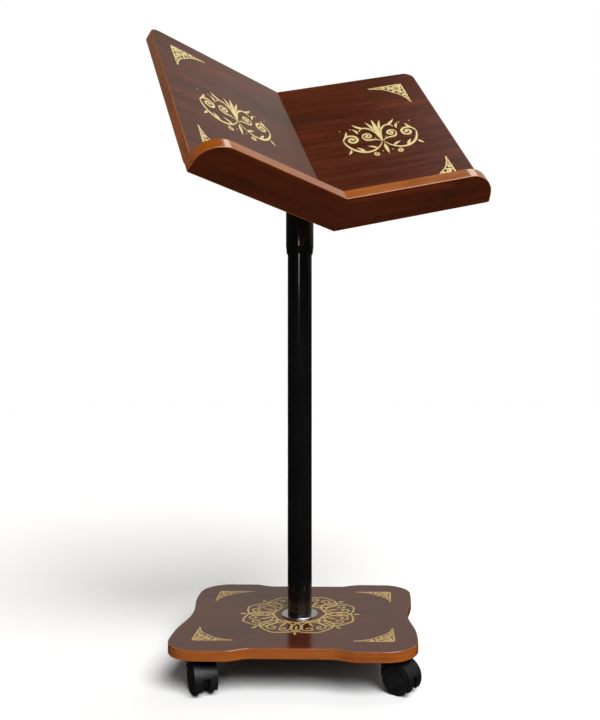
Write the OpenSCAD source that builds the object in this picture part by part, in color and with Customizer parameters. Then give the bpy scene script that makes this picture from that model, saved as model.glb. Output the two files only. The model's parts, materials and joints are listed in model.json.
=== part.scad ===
// Floor-standing reading stand: a V-shaped board with a front lip on a swivelling
// socket, a steel pole, a lobed base board and four twin-wheel casters.
// Millimetres, +Z up, floor at Z = 0, origin under the middle of the bounding box.

/* [Base board] */
// Width over the corner lobes
base_w = 360; // [340:5:420]
// Depth over the corner lobes
base_d = 322; // [305:1:380]
// Thickness of the base board
base_t = 15; // [12:1:22]
// Radius of the corner lobes
lobe_r = 47; // [40:1:55]
// How far the left and right sides are hollowed
side_hollow = 10; // [0:1:16]
// How far the front and back are hollowed
front_hollow = 11; // [0:1:16]

/* [Pole] */
// Outer diameter of the pole
pole_d = 38; // [36:1:40]
// Wall thickness of the pole
pole_wall = 1.5; // [1:0.5:3]
// Height of the pole's top above the base board
pole_h = 660; // [640:5:662]
// Outer diameter of the ring at the pole's foot
ring_d = 57.5; // [50:0.5:70]
// Thickness of the ring at the pole's foot
ring_t = 2; // [1:0.5:4]

/* [Head socket] */
// Outer diameter of the socket round the pole's top
socket_d = 43.5; // [43:0.5:46]
// Height of the socket's lower end above the base board
socket_low = 568; // [560:1:575]
// Direction the reading board faces, turned from straight ahead
head_turn = 28; // [0:1:60]

/* [Reading board] */
// Width of one wing, from the spine to its outer edge
wing_w = 240; // [200:5:280]
// Depth of the wings behind the lip
wing_d = 325; // [280:5:330]
// Thickness of the wings
wing_t = 16; // [14:1:18]
// Slope of each wing up from the spine
wing_slope = 18.4; // [10:0.2:24]
// Tilt of the board back from level
board_tilt = 47.3; // [42:0.1:52]
// Distance of the spine's front end ahead of the pole's axis
spine_reach = 124.8; // [120:0.1:130]
// Height of the spine's front end above the base board
spine_h = 612.6; // [612:0.1:620]
// Radius of the wings' rear outer corners
wing_corner_r = 18; // [5:1:30]
// Height of the lip above the reading face
lip_h = 40; // [25:1:45]
// Thickness of the lip
lip_t = 18; // [16:1:20]
// Radius of the lip's lower outer corner
lip_foot_r = 3; // [2:1:10]
// Thickness of the edge bands
band_t = 1; // [0.8:0.1:2]

/* [Casters] */
// Height of a caster from the floor to the base board
caster_h = 53; // [53:1:56]
// Diameter of the caster wheels
wheel_d = 44; // [40:1:44]
// Width over a caster's two wheels
wheels_w = 34; // [34:1:38]
// Distance from the swivel axis back to the wheel axle
trail = 20; // [18:1:22]
// Distance of the swivel axes from the pole, sideways
caster_x = 137; // [125:1:140]
// Distance of the swivel axes from the pole, fore and aft
caster_y = 118; // [105:1:122]
// Direction in which the front left caster trails
turn_front_left = -62; // [-180:1:180]
// Direction in which the front right caster trails
turn_front_right = -33; // [-180:1:180]
// Direction in which the rear left caster trails
turn_rear_left = 148; // [-180:1:180]
// Direction in which the rear right caster trails
turn_rear_right = 65; // [-180:1:180]

/* [Hidden] */
$fn = 64;
CASTERS = ["front_left", "front_right", "rear_left", "rear_right"];
CASTER_PARTS = ["caster_plate", "kingpin", "hood", "axle", "wheel_a", "wheel_b"];

// Colours
MAHOGANY = "#4a2415";
BANDING = "#a05018";
BLACK = "#101010";
STEEL = "#b8b8bc";

// Heights from the floor
board_z = caster_h;                 // underside of the base board
deck_z = caster_h + base_t;         // top of the base board
pole_top = deck_z + pole_h;
socket_z = deck_z + socket_low;
spine_z = deck_z + spine_h;

// Clearances between bodies
running = 0.05;                     // radial, where one piece turns on another
gap = 0.3;                          // between faces that pass each other

// Fasteners
caster_screw_d = 3.5;
caster_screw_len = 12;
caster_hole_pitch = 28;
caster_plate_w = 38;
caster_plate_t = 2.5;
kingpin_d = 8;
pole_bolt_d = 8;
bracket_screw_d = 4;
lip_screw_d = 4;
lip_screw_len = 45;
lip_screw_at = [62, 183];           // along each lip, from the spine

// Head socket and what is in it
socket_wall = 1.5;
socket_r = socket_d / 2 - socket_wall;          // inner radius
bush_r = pole_d / 2 + running;                  // bore radius of the bushes
bush_len = 24;
swage_len = 12;                     // length of the tapered lower end
cap_head = 20;                      // height of the cap above the pole
groove_z = pole_top + 10;           // middle of the cap's groove
seat_t = 3;
seat_z = pole_top + cap_head + gap;
bracket_t = 3;
bracket_half_w = 72;
bracket_len = 116;

// ---- frames ----------------------------------------------------------------

// Reading board frame: origin at the spine's front end on the reading face,
// +X to the right wing, +Y back along the spine, +Z off the board.
spine_front = [spine_reach * sin(head_turn), -spine_reach * cos(head_turn), spine_z];
module board_frame() {
    translate(spine_front) rotate([0, 0, head_turn]) rotate([board_tilt, 0, 0]) children();
}

// One wing's frame: X out from the spine, Y back along it, Z off the wing's face.
module wing_frame(side) {
    board_frame() mirror([side < 0 ? 1 : 0, 0, 0]) rotate([0, -wing_slope, 0]) children();
}

// A point of a wing's frame, in the pole's frame
function board_point(p) =
    let (x1 = p.x, y1 = p.y * cos(board_tilt) - p.z * sin(board_tilt),
         z1 = p.y * sin(board_tilt) + p.z * cos(board_tilt))
    spine_front + [x1 * cos(head_turn) - y1 * sin(head_turn),
                   x1 * sin(head_turn) + y1 * cos(head_turn), z1];
function wing_point(side, w, d, n) =
    board_point([side * (w * cos(wing_slope) - n * sin(wing_slope)), d,
                 w * sin(wing_slope) + n * cos(wing_slope)]);

// ---- outlines --------------------------------------------------------------

function arc(cx, cy, r, from, to, steps) =
    [for (i = [0:steps]) let (t = from + (to - from) * i / steps) [cx + r * cos(t), cy + r * sin(t)]];

// Half width of the base at depth y, and half depth at width x: hollowed by a
// smooth wave in the middle of each side.
side_run = 90;                      // half length of the side hollows
front_flat = 58;                    // half length of the flat in the front hollow
front_run = 34;                     // length of its slopes
function base_half_w(y) =
    base_w / 2 - (abs(y) < side_run ? side_hollow * (1 + cos(180 * y / side_run)) / 2 : 0);
function base_half_d(x) =
    let (t = max(0, min(1, (abs(x) - front_flat) / front_run)))
    base_d / 2 - front_hollow * (1 + cos(180 * t)) / 2;
lobe_x = base_w / 2 - lobe_r;
lobe_y = base_d / 2 - lobe_r;
function base_outline(inset = 0) =
    let (r = lobe_r - inset,
         right = [for (y = [-side_run:10:side_run]) [base_half_w(y) - inset, y]],
         top = [for (i = [8:-1:0]) let (x = front_flat + front_run * i / 8) [x, base_half_d(x) - inset]],
         corner = arc(lobe_x, lobe_y, r, 0, 90, 15),
         half = concat(right, corner, top,
                       [for (i = [len(top) - 1:-1:0]) [-top[i].x, top[i].y]],
                       [for (i = [15:-1:0]) [-corner[i].x, corner[i].y]]))
    concat(half,
           [for (i = [len(right) - 1:-1:0]) [-right[i].x, right[i].y]],
           [for (p = corner) [-p.x, -p.y]],
           [for (p = top) [-p.x, -p.y]],
           [for (i = [len(top) - 1:-1:0]) [top[i].x, -top[i].y]],
           [for (i = [15:-1:0]) [corner[i].x, -corner[i].y]]);

// A wing seen from above: X from the spine, Y back
function wing_outline(inset = 0) =
    let (r = wing_corner_r - inset)
    concat([[-wing_t, 0], [wing_w - inset, 0]],
           arc(wing_w - wing_corner_r, wing_d - wing_corner_r, r, 0, 90, 9),
           [[-wing_t, wing_d - inset]]);

// A lip seen from the front: X from the spine, Y off the wing's face
function lip_outline(inset = 0) =
    concat([[-lip_h, -wing_t + inset]],
           arc(wing_w - lip_foot_r, -wing_t + lip_foot_r, lip_foot_r - inset, -90, 0, 5),
           arc(wing_w - lip_h, 0, lip_h - inset, 0, 90, 18),
           [[-lip_h, lip_h - inset]]);

// ---- the origin: under the middle of the whole model's box --------------------

head_points = concat(
    [for (s = [-1, 1]) for (p = wing_outline()) for (n = [-wing_t, 0])
        if (p.x > 0) wing_point(s, p.x, p.y, n)],
    [for (s = [-1, 1]) for (p = lip_outline()) for (d = [-lip_t, 0])
        if (p.x > 0) wing_point(s, p.x, d, p.y)]);
base_points = base_outline();
all_x = concat([for (p = head_points) p.x], [for (p = base_points) p.x]);
all_y = concat([for (p = head_points) p.y], [for (p = base_points) p.y]);
pole_x = -(max(all_x) + min(all_x)) / 2;
pole_y = -(max(all_y) + min(all_y)) / 2;
module at_pole() { translate([pole_x, pole_y, 0]) children(); }

// ---- base -------------------------------------------------------------------

function caster_turn(c) = c == "front_left" ? turn_front_left : c == "front_right" ? turn_front_right
    : c == "rear_left" ? turn_rear_left : turn_rear_right;
function caster_at(c) = [(c == "front_left" || c == "rear_left") ? -caster_x : caster_x,
                         (c == "front_left" || c == "front_right") ? -caster_y : caster_y, 0];
module each_caster_screw() {
    for (c = CASTERS) translate(caster_at(c))
        for (x = [-1, 1]) for (y = [-1, 1])
            translate([x * caster_hole_pitch / 2, y * caster_hole_pitch / 2, board_z]) children();
}

module base_board() {
    color(MAHOGANY) at_pole() difference() {
        translate([0, 0, board_z]) linear_extrude(base_t) polygon(base_outline(band_t));
        translate([0, 0, board_z - 1]) cylinder(h = base_t + 2, d = pole_bolt_d);
        each_caster_screw()
            translate([0, 0, -1]) cylinder(h = caster_screw_len - caster_plate_t + 1, d = caster_screw_d);
    }
}

module base_edge_band() {
    color(BANDING) at_pole() translate([0, 0, board_z]) linear_extrude(base_t) difference() {
        polygon(base_outline());
        polygon(base_outline(band_t));
    }
}

module base_ring() {
    chamfer = 0.6;
    color(STEEL) at_pole() translate([0, 0, deck_z]) rotate_extrude() polygon([
        [pole_d / 2, 0], [ring_d / 2, 0], [ring_d / 2, ring_t - chamfer],
        [ring_d / 2 - chamfer, ring_t], [pole_d / 2, ring_t]]);
}

module pole() {
    color(BLACK) at_pole() translate([0, 0, deck_z]) difference() {
        cylinder(h = pole_h, d = pole_d);
        translate([0, 0, -1]) cylinder(h = pole_h + 2, d = pole_d - 2 * pole_wall);
    }
}

plug_len = 30;
module pole_foot_plug() {
    color(STEEL) at_pole() translate([0, 0, deck_z]) difference() {
        cylinder(h = plug_len, d = pole_d - 2 * pole_wall);
        translate([0, 0, -1]) cylinder(h = plug_len + 2, d = pole_bolt_d);
    }
}

washer_t = 2.5;
bolt_head_t = 5.5;
bolt_head_af = 13;
module pole_bolt() {
    color(STEEL) at_pole() union() {
        translate([0, 0, board_z - washer_t]) cylinder(h = washer_t + base_t + plug_len - 5, d = pole_bolt_d);
        translate([0, 0, board_z - washer_t - bolt_head_t])
            cylinder(h = bolt_head_t, d = bolt_head_af / cos(30), $fn = 6);
    }
}

module pole_washer() {
    washer_d = 50;
    color(STEEL) at_pole() translate([0, 0, board_z - washer_t]) difference() {
        cylinder(h = washer_t, d = washer_d);
        translate([0, 0, -1]) cylinder(h = washer_t + 2, d = pole_bolt_d);
    }
}

// Nylon cap: a shank pressed into the pole and a grooved head that the seat turns on
groove_h = 6.6;
groove_r = 16.5;
module pole_cap() {
    shank = 25;
    crown = 2;
    head_r = pole_d / 2 - 0.2;
    color("dimgray") at_pole() rotate_extrude() polygon([
        [0, pole_top - shank], [pole_d / 2 - pole_wall, pole_top - shank],
        [pole_d / 2 - pole_wall, pole_top], [head_r, pole_top], [head_r, groove_z - groove_h / 2],
        [groove_r, groove_z - groove_h / 2], [groove_r, groove_z + groove_h / 2],
        [head_r, groove_z + groove_h / 2], [head_r, pole_top + cap_head - crown],
        [head_r - crown, pole_top + cap_head], [0, pole_top + cap_head]]);
}

// ---- casters ------------------------------------------------------------------

// Caster frame: Z on the swivel axis, floor at Z = 0, +X towards the trailing wheels
module at_caster(c) {
    at_pole() translate(caster_at(c)) rotate([0, 0, caster_turn(c)]) children();
}
wheel_r = wheel_d / 2;
axle_d = 6;
web_t = 11.4;                       // thickness of the hood's middle web
wheel_t = (wheels_w - web_t) / 2 - gap;
plate_z = board_z - caster_plate_t;
shoulder_t = 1;                     // kingpin shoulder under the plate
fender_gap = 1.2;
fender_t = 2;
fender_r = wheel_r + fender_gap + fender_t;
fender_w = wheels_w - 1;
boss_top = plate_z - shoulder_t - gap;

module caster_plate(c) {
    corner = 5;
    half = caster_plate_w / 2 - corner;
    color(STEEL) at_pole() translate(caster_at(c) + [0, 0, plate_z]) difference() {
        linear_extrude(caster_plate_t) union() {
            square([caster_plate_w, caster_plate_w - 2 * corner], center = true);
            square([caster_plate_w - 2 * corner, caster_plate_w], center = true);
            for (x = [-half, half]) for (y = [-half, half]) translate([x, y]) circle(corner, $fn = 32);
        }
        translate([0, 0, -1]) cylinder(h = caster_plate_t + 2, d = kingpin_d);
        for (x = [-1, 1]) for (y = [-1, 1])
            translate([x * caster_hole_pitch / 2, y * caster_hole_pitch / 2, -1])
                cylinder(h = caster_plate_t + 2, d = caster_screw_d, $fn = 32);
    }
}

kingpin_len = 22;                   // below its shoulder
module kingpin(c) {
    shoulder_r = 8;
    color(STEEL) at_caster(c) rotate_extrude() polygon([
        [0, plate_z - shoulder_t - kingpin_len], [kingpin_d / 2, plate_z - shoulder_t - kingpin_len],
        [kingpin_d / 2, plate_z - shoulder_t], [shoulder_r, plate_z - shoulder_t],
        [shoulder_r, plate_z], [kingpin_d / 2, plate_z], [kingpin_d / 2, board_z], [0, board_z]]);
}

// A sector of a ring round the axle, from one angle to another, seen along the axle
module fender_sector(r_in, r_out, from, to) {
    steps = 24;
    polygon(concat(arc(0, 0, r_out, from, to, steps), arc(0, 0, r_in, to, from, steps)));
}

// Hood: web between the wheels, boss round the kingpin, and a fender over each wheel
fender_tail = -34;                  // angle at which the fender ends behind
fender_slot = 12;                   // below this angle the fender is split in two
fender_nose = 158;                  // angle at which it ends in front
module hood(c) {
    web_r = 17;
    boss_r = 9;
    pin_hole_z = plate_z - shoulder_t - kingpin_len - gap;
    slot_w = web_t - 1;
    color(BLACK) at_caster(c) difference() {
        union() {
            translate([trail, 0, wheel_r]) rotate([90, 0, 0]) {
                translate([0, 0, -web_t / 2]) linear_extrude(web_t)
                    fender_sector(0.1, fender_r - fender_t / 2, fender_slot, fender_nose);
                translate([0, 0, -web_t / 2]) cylinder(h = web_t, r = web_r);
                translate([0, 0, -fender_w / 2]) linear_extrude(fender_w)
                    fender_sector(wheel_r + fender_gap, fender_r, fender_tail, fender_nose);
            }
            translate([-boss_r, -web_t / 2, wheel_r - 3]) cube([boss_r + 4, web_t, boss_top - wheel_r - 2]);
            translate([0, 0, boss_top - 5]) cylinder(h = 5, r = boss_r);
        }
        translate([0, 0, pin_hole_z]) cylinder(h = boss_top, r = kingpin_d / 2 + running);
        translate([trail, web_t, wheel_r]) rotate([90, 0, 0]) cylinder(h = 2 * web_t, d = axle_d);
        translate([trail, 0, wheel_r]) rotate([90, 0, 0]) translate([0, 0, -slot_w / 2])
            linear_extrude(slot_w) fender_sector(wheel_r, fender_r + 1, fender_tail - 5, fender_slot);
    }
}

axle_end = 3;                       // wall left outside the axle's end
module axle(c) {
    len = wheels_w - 2 * axle_end - 2 * gap;
    color(STEEL) at_caster(c) translate([trail, len / 2, wheel_r]) rotate([90, 0, 0])
        cylinder(h = len, d = axle_d);
}

// A wheel: rounded tread and a slightly domed outer face with a shallow ring in it
module wheel(c, side) {
    tread_r = 2.5;
    dome = 1;
    ring_r = 14.5;
    ring_w = 1.2;
    inner = web_t / 2 + gap;
    outer = inner + wheel_t;
    depth = outer - axle_end;
    color(BLACK) at_caster(c) translate([trail, 0, wheel_r]) rotate([-90 * side, 0, 0])
        difference() {
            rotate_extrude() polygon(concat(
                [[0, inner], [wheel_r - tread_r, inner]],
                arc(wheel_r - tread_r, inner + tread_r, tread_r, -90, 0, 4),
                arc(wheel_r - tread_r, outer - tread_r - dome, tread_r, 0, 90, 4),
                [[ring_r + ring_w, outer - dome + 0.3], [ring_r + ring_w / 2, outer - dome - 0.5],
                 [ring_r, outer - dome + 0.4], [ring_r / 2, outer - 0.2], [0, outer]]));
            cylinder(h = depth, r = axle_d / 2 + running);
        }
}

module caster_screws() {
    head_r = 3.4;
    head_t = 2;
    color(STEEL) at_pole() each_caster_screw() union() {
        translate([0, 0, -caster_plate_t]) cylinder(h = caster_screw_len, d = caster_screw_d, $fn = 32);
        translate([0, 0, -caster_plate_t - head_t]) cylinder(h = head_t, r = head_r, $fn = 32);
    }
}

// ---- head -----------------------------------------------------------------------

bracket_mid = (spine_reach - (wing_t + bracket_t) * sin(board_tilt)) / cos(board_tilt);
bracket_holes = [for (w = [24, 58]) for (d = [-42, 42]) [w, bracket_mid + d]];
module each_bracket_screw(side) {
    at_pole() wing_frame(side) for (p = bracket_holes) translate([p.x, p.y, -wing_t]) children();
}
module each_lip_screw(side) {
    at_pole() wing_frame(side) for (w = lip_screw_at)
        translate([w, -lip_t, -wing_t / 2]) rotate([-90, 0, 0]) children();
}
dowel_d = 6;
dowel_len = 24;
dowel_at = [50, 280];               // along the spine
module spine_dowel_shapes() {
    drop = -wing_t / 2 - 0.5;
    at_pole() board_frame() for (d = dowel_at)
        translate([-dowel_len / 2, d, drop]) rotate([0, 90, 0]) cylinder(h = dowel_len, d = dowel_d);
}

// Everything on one side of the plane through the spine
module side_half(side) {
    size = 700;
    at_pole() board_frame() translate([side > 0 ? 0 : -size, -size / 2, -size / 2]) cube(size);
}

// An outline drawn from above, as a board of the wings' thickness
module wing_plate(side) {
    at_pole() wing_frame(side) translate([0, 0, -wing_t]) linear_extrude(wing_t) children();
}

module wing(side) {
    screw_depth = 12;
    thread_len = lip_screw_len - lip_t;
    color(MAHOGANY) difference() {
        intersection() {
            wing_plate(side) polygon(wing_outline(band_t));
            side_half(side);
        }
        each_bracket_screw(side)
            translate([0, 0, -1]) cylinder(h = screw_depth + 1, d = bracket_screw_d, $fn = 32);
        each_lip_screw(side)
            translate([0, 0, lip_t - 1]) cylinder(h = thread_len + 1, d = lip_screw_d, $fn = 32);
        spine_dowel_shapes();
    }
}

module wing_band(side) {
    color(BANDING) intersection() {
        wing_plate(side) difference() {
            polygon(wing_outline());
            polygon(wing_outline(band_t));
        }
        side_half(side);
    }
}

// An outline drawn from the front, as a board of the lip's thickness
module lip_plate(side) {
    at_pole() wing_frame(side) rotate([90, 0, 0]) linear_extrude(lip_t) children();
}

lip_sink = 4;                       // depth of the sink for a lip screw's head
module lip(side) {
    color(MAHOGANY) difference() {
        intersection() {
            lip_plate(side) polygon(lip_outline(band_t));
            side_half(side);
        }
        each_lip_screw(side) {
            translate([0, 0, -1]) cylinder(h = lip_t + 2, d = lip_screw_d, $fn = 32);
            translate([0, 0, -1]) cylinder(h = lip_sink + 1, d = 2 * lip_screw_d, $fn = 32);
        }
    }
}

module lip_band(side) {
    color(BANDING) intersection() {
        lip_plate(side) difference() {
            polygon(lip_outline());
            polygon(lip_outline(band_t));
        }
        side_half(side);
    }
}

module lip_screws() {
    color(STEEL) for (side = [-1, 1]) each_lip_screw(side) union() {
        translate([0, 0, lip_sink - 3]) cylinder(h = 3, d = 2 * lip_screw_d, $fn = 32);
        translate([0, 0, lip_sink]) cylinder(h = lip_screw_len - lip_sink, d = lip_screw_d, $fn = 32);
    }
}

// Domed caps over the lip screws, with a short plug in the sink
module lip_screw_caps() {
    cap_r = 5;
    cap_t = 1.6;
    color("#3a1c14") for (side = [-1, 1]) each_lip_screw(side) rotate_extrude($fn = 48) polygon([
        [0, lip_sink - 3], [lip_screw_d, lip_sink - 3], [lip_screw_d, 0], [cap_r, 0],
        [cap_r, -0.5], [cap_r * 0.82, -0.75 * cap_t], [cap_r * 0.45, -cap_t], [0, -cap_t]]);
}

module spine_dowels() {
    color("burlywood") spine_dowel_shapes();
}

// The space below the bracket's underside, seen in the wing frames
module under_bracket() {
    size = 400;
    for (side = [-1, 1]) intersection() {
        at_pole() wing_frame(side) translate([-size / 2, -size / 2, -wing_t - bracket_t - size])
            cube([size, 2 * size, size]);
        side_half(side);
    }
}

module head_bracket() {
    corner = 10;
    color(BLACK) difference() {
        union() for (side = [-1, 1]) intersection() {
            at_pole() wing_frame(side) translate([0, bracket_mid, -wing_t - bracket_t])
                linear_extrude(bracket_t) union() {
                    translate([-wing_t, -bracket_len / 2])
                        square([bracket_half_w + wing_t - corner, bracket_len]);
                    translate([0, -bracket_len / 2 + corner])
                        square([bracket_half_w, bracket_len - 2 * corner]);
                    for (d = [-1, 1])
                        translate([bracket_half_w - corner, d * (bracket_len / 2 - corner)]) circle(corner);
                }
            side_half(side);
        }
        for (side = [-1, 1]) each_bracket_screw(side)
            translate([0, 0, -bracket_t - 1]) cylinder(h = bracket_t + 2, d = bracket_screw_d, $fn = 32);
    }
}

module bracket_screws() {
    head_r = 4;
    head_t = 2.4;
    len = 15;
    color(STEEL) for (side = [-1, 1]) each_bracket_screw(side) union() {
        translate([0, 0, -bracket_t]) cylinder(h = len, d = bracket_screw_d, $fn = 32);
        translate([0, 0, -bracket_t - head_t]) cylinder(h = head_t, r = head_r, $fn = 32);
    }
}

// The socket: a tube swaged in at its lower end and cut to the bracket at its top
module socket() {
    mouth_r = pole_d / 2 + gap;
    mouth_wall = 0.9;
    top = socket_z + 200;
    color(BLACK) difference() {
        intersection() {
            at_pole() rotate_extrude() polygon([
                [mouth_r, socket_z], [mouth_r + mouth_wall, socket_z],
                [mouth_r + mouth_wall + 0.5, socket_z + 2], [socket_d / 2 - 0.4, socket_z + swage_len - 2],
                [socket_d / 2, socket_z + swage_len], [socket_d / 2, top], [socket_r, top],
                [socket_r, socket_z + swage_len], [mouth_r, socket_z + 1]]);
            under_bracket();
        }
        retaining_axis() cylinder(h = socket_d, d = retaining_d, $fn = 32);
    }
}

module bush(z) {
    color("ivory") at_pole() translate([0, 0, z]) difference() {
        cylinder(h = bush_len, r = socket_r);
        translate([0, 0, -1]) cylinder(h = bush_len + 2, r = bush_r);
    }
}
module socket_bush_lower() { bush(socket_z + swage_len); }
module socket_bush_upper() { bush(pole_top - bush_len - 2); }

module socket_seat() {
    color(STEEL) at_pole() translate([0, 0, seat_z]) cylinder(h = seat_t, r = socket_r);
}

// The retaining screw points at the pole's axis from behind the head
retaining_d = 6;
module retaining_axis() {
    at_pole() translate([0, 0, groove_z]) rotate([0, 0, head_turn]) rotate([-90, 0, 0]) children();
}
retaining_nut_t = 5;
module retaining_nut() {
    across_flats = 10;
    color(BLACK) retaining_axis() difference() {
        translate([0, 0, socket_r + socket_wall / 2])
            cylinder(h = retaining_nut_t + socket_wall / 2, d = across_flats / cos(30), $fn = 6);
        rotate([90, 0, 0]) cylinder(h = 4 * across_flats, r = socket_d / 2, center = true);
        cylinder(h = socket_d, d = retaining_d, $fn = 32);
    }
}

module retaining_screw() {
    tip_gap = 0.5;
    tip = groove_r + tip_gap;
    hex_depth = 3;
    end = socket_d / 2 + retaining_nut_t + 1;
    color(STEEL) retaining_axis() difference() {
        translate([0, 0, tip]) cylinder(h = end - tip, d = retaining_d, $fn = 32);
        translate([0, 0, end - hex_depth]) cylinder(h = hex_depth + 1, d = 3 / cos(30), $fn = 6);
    }
}

// ---- drawing ----------------------------------------------------------------------

base_board();
base_edge_band();
base_ring();
pole();
pole_foot_plug();
pole_bolt();
pole_washer();
pole_cap();
caster_screws();
wing(-1);  // wing_left
wing(1);  // wing_right
wing_band(-1);  // wing_band_left
wing_band(1);  // wing_band_right
lip(-1);  // lip_left
lip(1);  // lip_right
lip_band(-1);  // lip_band_left
lip_band(1);  // lip_band_right
head_bracket();
socket();
socket_bush_lower();
socket_bush_upper();
socket_seat();
retaining_nut();
retaining_screw();
bracket_screws();
lip_screws();
lip_screw_caps();
spine_dowels();
for (c = CASTERS) {
    caster_plate(c);
    kingpin(c);
    hood(c);
    axle(c);
    wheel(c, -1);
    wheel(c, 1);
}
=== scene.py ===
"""A floor-standing reading stand, finished round its CAD frame.

Sizes are in metres, in the frame's axes: +Z up, the floor at Z = 0. Places come from the
frame: its boxes, its joints and the two reading faces that the record gives as mounts.
"""

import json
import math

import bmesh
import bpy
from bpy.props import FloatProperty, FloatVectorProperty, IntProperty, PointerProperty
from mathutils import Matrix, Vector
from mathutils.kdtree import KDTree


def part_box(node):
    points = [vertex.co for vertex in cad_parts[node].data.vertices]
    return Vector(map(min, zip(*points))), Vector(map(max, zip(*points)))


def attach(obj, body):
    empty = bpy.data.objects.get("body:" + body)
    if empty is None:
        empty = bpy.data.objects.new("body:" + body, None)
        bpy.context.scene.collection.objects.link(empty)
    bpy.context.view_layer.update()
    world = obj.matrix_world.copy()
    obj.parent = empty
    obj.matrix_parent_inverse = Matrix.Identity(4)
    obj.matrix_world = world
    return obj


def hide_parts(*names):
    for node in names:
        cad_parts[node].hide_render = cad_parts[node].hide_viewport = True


bl_info = {
    "name": "Reading stand",
    "version": (1, 0, 0),
    "blender": (4, 5, 0),
    "location": "3D View > Sidebar > Reading stand",
    "description": "Builds a V-shaped reading stand on a pole with four casters",
    "category": "Add Mesh",
}

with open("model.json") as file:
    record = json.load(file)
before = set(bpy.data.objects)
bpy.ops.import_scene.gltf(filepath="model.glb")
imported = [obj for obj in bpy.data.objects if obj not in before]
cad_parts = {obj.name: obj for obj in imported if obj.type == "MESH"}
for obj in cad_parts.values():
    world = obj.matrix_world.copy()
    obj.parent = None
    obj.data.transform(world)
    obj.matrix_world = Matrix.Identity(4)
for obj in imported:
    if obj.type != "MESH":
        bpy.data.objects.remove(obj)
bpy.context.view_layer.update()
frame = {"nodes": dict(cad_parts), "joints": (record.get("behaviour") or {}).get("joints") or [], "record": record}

MM = 0.001
SIDES = ("left", "right")
CASTERS = ("front_left", "front_right", "rear_left", "rear_right")
TAU = 2 * math.pi


# ---- places in the frame ----


def named(items, name):
    return next(item for item in items if item["name"] == name)


def axes(x, y, z, origin):
    """The matrix that takes a piece's own axes and origin to the frame."""
    matrix = Matrix((x, y, z)).transposed().to_4x4()
    matrix.translation = origin
    return matrix


def extent(node, place):
    """Lowest and highest corner of a CAD node in a place's own axes."""
    inverse = place.inverted()
    points = [inverse @ v.co for v in frame["nodes"][node].data.vertices]
    low = Vector([min(p[i] for p in points) for i in range(3)])
    high = Vector([max(p[i] for p in points) for i in range(3)])
    return low, high


def wing_places():
    """Each wing's own axes: X to the right along it, Y back along the spine, Z off its face.

    The origin is the spine's front end, on the reading faces.
    """
    faces = {s: named(frame["record"]["mounts"], "reading_face_" + s) for s in SIDES}
    centre = {s: Vector(faces[s]["pos_m"]) for s in SIDES}
    off = {s: Vector(faces[s]["axis"]).normalized() for s in SIDES}
    back = off["right"].cross(off["left"]).normalized()
    out = back.cross(off["right"])
    across = centre["right"] - centre["left"]
    half_span = across.length / 2
    reach = half_span / out.dot(across.normalized())
    spine_middle = centre["right"] - reach * out
    flat = axes(out, back, off["right"], spine_middle)
    front = extent("wing_right", flat)[0].y
    spine_front = spine_middle + front * back
    return {s: axes(back.cross(off[s]), back, off[s], spine_front) for s in SIDES}


def lip_place(wing):
    """A lip's own axes: X as the wing's, Y off the wing's face, Z to the front."""
    x, y, z = (wing.col[i].to_3d() for i in range(3))
    return axes(x, z, -y, wing.translation)


def caster_place(name):
    """A caster's own axes: X along the axle, Y to its trailing side, Z up, origin on the axle."""
    roll = named(frame["joints"], name + "_wheel_a_roll")
    swivel = named(frame["joints"], name + "_swivel")
    along = Vector(roll["axis"]).normalized()
    trailing = (Vector(roll["pos_m"]) - Vector(swivel["pos_m"])).to_2d().to_3d().normalized()
    if along.cross(trailing).z < 0:
        along = -along
    return axes(along, trailing, Vector((0, 0, 1)), Vector(roll["pos_m"]))


POLE_LOW, POLE_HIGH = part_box("pole")
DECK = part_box("base_board")[1].z
POLE_FOOT = Vector(((POLE_LOW.x + POLE_HIGH.x) / 2, (POLE_LOW.y + POLE_HIGH.y) / 2, DECK))
BASE = Matrix.Translation(POLE_FOOT)
WING = wing_places()
LIP = {s: lip_place(WING[s]) for s in SIDES}
# Outward along a wing, in its own X
OUTWARD = {"left": -1, "right": 1}


# ---- sizes and colours ----


def length(name, description, default_mm, high=0.5):
    return FloatProperty(
        name=name, description=description, default=default_mm * MM, min=0, max=high,
        unit="LENGTH", precision=5,
    )


def share(name, description, default, high=1.0):
    return FloatProperty(name=name, description=description, default=default, min=0, max=high)


def colour(name, description, default):
    return FloatVectorProperty(
        name=name, description=description, default=default, size=3, min=0, max=1,
        subtype="COLOR",
    )


class StandBoards(bpy.types.PropertyGroup):
    """Edges and finish of the laminated boards"""

    band_round: length("Band rounding", "Radius on the outer edges of the edge bands", 0.7)
    joint_line: length("Joint line", "Chamfer where a board meets its edge band", 0.12)
    wood_dark: colour("Dark grain", "Darkest streaks of the mahogany foil", (0.041, 0.0100, 0.0038))
    wood_middle: colour("Middle grain", "Main colour of the mahogany foil", (0.068, 0.0134, 0.0038))
    wood_red: colour("Red grain", "Reddest streaks of the mahogany foil", (0.122, 0.0205, 0.0044))
    wood_gloss: share("Gloss", "Lacquer coat over the foil", 0.12)
    band_dark: colour("Dark band", "Darker streaks of the edge bands", (0.225, 0.052, 0.0025))
    band_light: colour("Light band", "Lighter streaks of the edge bands", (0.345, 0.090, 0.0050))
    cap_colour: colour("Screw caps", "Colour of the lip's screw caps", (0.056, 0.0115, 0.0040))


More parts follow.
